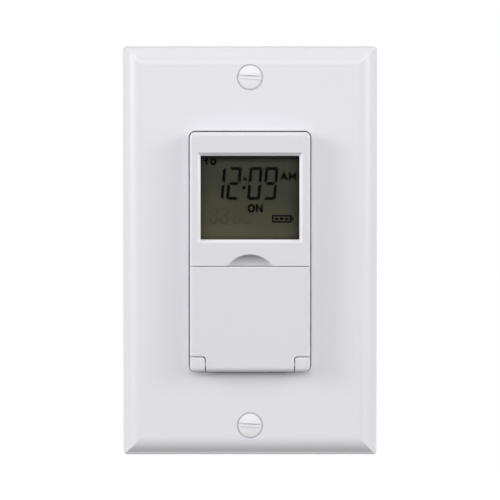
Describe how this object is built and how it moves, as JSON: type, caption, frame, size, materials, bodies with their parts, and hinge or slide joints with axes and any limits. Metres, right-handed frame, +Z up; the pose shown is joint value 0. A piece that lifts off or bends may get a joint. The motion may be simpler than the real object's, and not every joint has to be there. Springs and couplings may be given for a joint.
{
  "type": "timer light switch",
  "caption": "In-wall digital timer switch with a wall plate, an LCD window, a flip cover over its keys, a mounting strap and side screw terminals.",
  "frame": {"origin": "centre of the wall plate's rear rim, in the wall's surface", "axes": "+X to the right as seen from the room, +Z up, +Y into the wall; the front faces -Y"},
  "size_m": [0.071, 0.0413, 0.1142],
  "materials": {
    "plate_plastic": "smooth moulded white",
    "unit_plastic": "smooth moulded white",
    "cover_plastic": "smooth moulded white",
    "key_plastic": "fine satin grey",
    "white_enamel": "white enamel on steel",
    "zinc_steel": "zinc plated",
    "green_steel": "green lacquer",
    "red_fibre": "vulcanised fibre",
    "clear_acrylic": "clear polished",
    "lcd_glass": "dark olive glass",
    "reflector_film": "matt silver film",
    "holder_plastic": "natural moulded",
    "elastomer": "striped silicone",
    "board_laminate": "green solder mask",
    "chip_plastic": "black moulded",
    "can_steel": "drawn can",
    "header_plastic": "black moulded with plated pins",
    "sheet_film": "insulating film",
    "relay_plastic": "dark blue moulded",
    "film_case": "yellow box",
    "capacitor_sleeve": "shrink sleeve",
    "varistor_lacquer": "blue lacquer",
    "fuse_plastic": "black moulded",
    "resistor_lacquer": "grey lacquer",
    "rear_plastic": "black moulded",
    "brass": "plain brass",
    "nickel": "nickel plated"
  },
  "bodies": {
    "unit": {"wall_plate": "plate_plastic", "plate_screws": "white_enamel", "mounting_strap": "zinc_steel", "ground_screw": "green_steel", "box_screws": "zinc_steel", "screw_retainers": "red_fibre", "front_housing": "unit_plastic", "display_window": "clear_acrylic", "lcd_panel": "lcd_glass", "lcd_reflector": "reflector_film", "lcd_holder": "holder_plastic", "zebra_strips": "elastomer", "tact_switches": "chip_plastic", "control_board": "board_laminate", "board_screws": "zinc_steel", "microcontroller": "chip_plastic", "clock_crystal": "can_steel", "clock_battery": "can_steel", "battery_clip": "nickel", "board_header": "header_plastic", "insulating_sheet": "sheet_film", "power_board": "board_laminate", "relay": "relay_plastic", "filter_capacitor": "film_case", "supply_capacitors": "capacitor_sleeve", "surge_varistor": "varistor_lacquer", "fuse": "fuse_plastic", "dropper_resistor": "resistor_lacquer", "rectifier_diodes": "chip_plastic", "rear_housing": "rear_plastic", "case_screws": "zinc_steel", "terminal_plates": "brass", "clamp_plates": "brass", "hot_terminal_screws": "brass", "neutral_terminal_screw": "nickel"},
    "door": {"door": "cover_plastic"},
    "manual_key": {"manual_key": "key_plastic", "manual_plunger": "chip_plastic"},
    "reset_key": {"reset_key": "key_plastic", "reset_plunger": "chip_plastic"},
    "program_key": {"program_key": "key_plastic", "program_plunger": "chip_plastic"},
    "clock_key": {"clock_key": "key_plastic", "clock_plunger": "chip_plastic"},
    "day_key": {"day_key": "key_plastic", "day_plunger": "chip_plastic"},
    "hour_key": {"hour_key": "key_plastic", "hour_plunger": "chip_plastic"},
    "minute_key": {"minute_key": "key_plastic", "minute_plunger": "chip_plastic"},
    "mode_key": {"mode_key": "key_plastic", "mode_plunger": "chip_plastic"}
  },
  "joints": [
    {"name": "door_hinge", "type": "hinge", "parent": "unit", "child": "door", "pos_m": [0, -0.0084, -0.0312], "axis": [1, 0, 0], "range_deg": [0, 175]},
    {"name": "manual_key_press", "type": "slide", "parent": "unit", "child": "manual_key", "axis": [0, 1, 0], "range_m": [0, 0.0005], "stiffness_N_per_m": 1000},
    {"name": "reset_key_press", "type": "slide", "parent": "unit", "child": "reset_key", "axis": [0, 1, 0], "range_m": [0, 0.0005], "stiffness_N_per_m": 1000},
    {"name": "program_key_press", "type": "slide", "parent": "unit", "child": "program_key", "axis": [0, 1, 0], "range_m": [0, 0.0005], "stiffness_N_per_m": 1000},
    {"name": "clock_key_press", "type": "slide", "parent": "unit", "child": "clock_key", "axis": [0, 1, 0], "range_m": [0, 0.0005], "stiffness_N_per_m": 1000},
    {"name": "day_key_press", "type": "slide", "parent": "unit", "child": "day_key", "axis": [0, 1, 0], "range_m": [0, 0.0005], "stiffness_N_per_m": 1000},
    {"name": "hour_key_press", "type": "slide", "parent": "unit", "child": "hour_key", "axis": [0, 1, 0], "range_m": [0, 0.0005], "stiffness_N_per_m": 1000},
    {"name": "minute_key_press", "type": "slide", "parent": "unit", "child": "minute_key", "axis": [0, 1, 0], "range_m": [0, 0.0005], "stiffness_N_per_m": 1000},
    {"name": "mode_key_press", "type": "slide", "parent": "unit", "child": "mode_key", "axis": [0, 1, 0], "range_m": [0, 0.0005], "stiffness_N_per_m": 1000}
  ]
}
